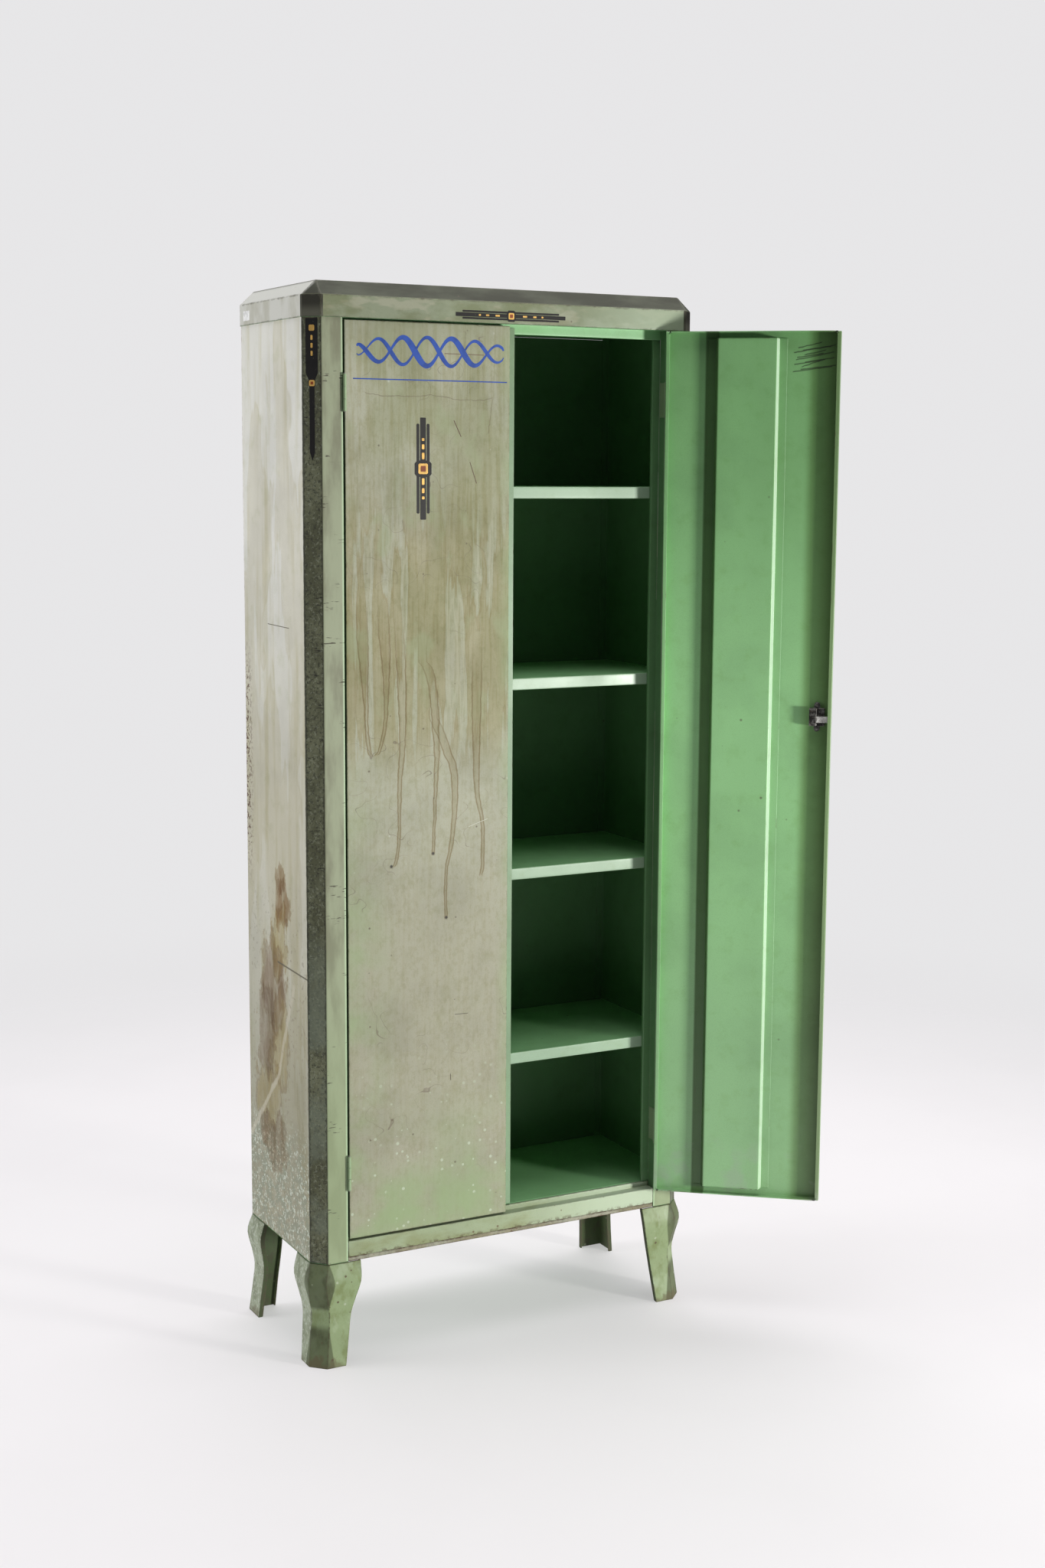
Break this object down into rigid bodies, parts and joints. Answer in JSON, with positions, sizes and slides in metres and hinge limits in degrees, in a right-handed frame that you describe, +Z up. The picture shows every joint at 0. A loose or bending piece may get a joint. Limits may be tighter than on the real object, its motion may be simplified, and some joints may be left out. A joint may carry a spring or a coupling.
{
  "type": "locker cabinet",
  "caption": "Tall two-door sheet-steel locker cabinet on curved legs, with folded-edge doors, inner shelves and a turn latch; one door shut, one standing open.",
  "frame": {"origin": "on the floor under the middle of the whole object's box, with the right door standing open as at rest", "axes": "+X to the right along the front, +Y from the doors towards the back panel, +Z up"},
  "size_m": [0.9504, 0.5352, 1.906],
  "materials": {
    "side_paint": "worn semi-gloss enamel, pale grey-green with drips, scratches and brown stains",
    "shell_paint": "worn semi-gloss enamel, sage green, chipped edges",
    "interior_paint": "cleaner mint-green enamel, semi-gloss",
    "stretcher_primer": "matt beige primer with rust",
    "leg_paint": "worn mottled green enamel with rust at the feet",
    "door_paint": "weathered sage-green enamel with brown streaks and scratches",
    "door_inside_paint": "mint-green enamel, semi-gloss, lightly scuffed",
    "hinge_steel": "painted steel, worn",
    "pin_steel": "plain steel",
    "latch_black": "blackened steel, worn",
    "latch_chrome": "dulled chrome plate"
  },
  "bodies": {
    "cabinet": {"left_side_panel": "side_paint", "right_side_panel": "side_paint", "top_cap": "shell_paint", "bottom_rail": "shell_paint", "back_panel": "interior_paint", "top_rail": "interior_paint", "floor_panel": "interior_paint", "shelf_1": "interior_paint", "shelf_2": "interior_paint", "shelf_3": "interior_paint", "shelf_4": "interior_paint", "front_stretcher": "stretcher_primer", "leg_front_left": "leg_paint", "leg_front_right": "leg_paint", "leg_rear_left": "leg_paint", "leg_rear_right": "leg_paint", "left_frame_hinge_upper": "hinge_steel", "left_hinge_pin_upper": "pin_steel", "left_frame_hinge_lower": "hinge_steel", "left_hinge_pin_lower": "pin_steel", "right_frame_hinge_upper": "hinge_steel", "right_hinge_pin_upper": "pin_steel", "right_frame_hinge_lower": "hinge_steel", "right_hinge_pin_lower": "pin_steel"},
    "left_door": {"left_door_panel": "door_paint", "left_door_stiffener": "door_inside_paint", "left_door_lap_strip": "door_inside_paint", "left_door_hinge_upper": "hinge_steel", "left_door_hinge_lower": "hinge_steel"},
    "right_door": {"right_door_panel": "door_paint", "right_door_stiffener": "door_inside_paint", "right_door_hinge_upper": "hinge_steel", "right_door_hinge_lower": "hinge_steel", "latch_case": "latch_black", "latch_screw_upper": "latch_black", "latch_screw_lower": "latch_black", "handle_rosette": "latch_chrome"},
    "latch_bolt": {"latch_bolt": "latch_chrome"},
    "handle": {"handle_spindle": "pin_steel", "turn_handle": "latch_chrome"}
  },
  "joints": [
    {"name": "left_door_hinge", "type": "hinge", "parent": "cabinet", "child": "left_door", "pos_m": [-0.40266, -0.05845, 0], "axis": [0, 0, -1], "range_deg": [0, 170]},
    {"name": "right_door_hinge", "type": "hinge", "parent": "cabinet", "child": "right_door", "pos_m": [0.22934, -0.05845, 0], "axis": [0, 0, 1], "range_deg": [-142, 28]},
    {"name": "handle_turn", "type": "hinge", "parent": "right_door", "child": "handle", "pos_m": [0.45571, -0.23975, 1.14962], "axis": [-0.6157, -0.788, 0], "range_deg": [0, 90]},
    {"name": "bolt_slide", "type": "slide", "parent": "right_door", "child": "latch_bolt", "axis": [0.788, -0.6157, 0], "range_m": [0, 0.0086]}
  ],
  "couplings": [
    {"joint": "bolt_slide", "follows": "handle_turn", "m_per_rad": 0.0054}
  ]
}
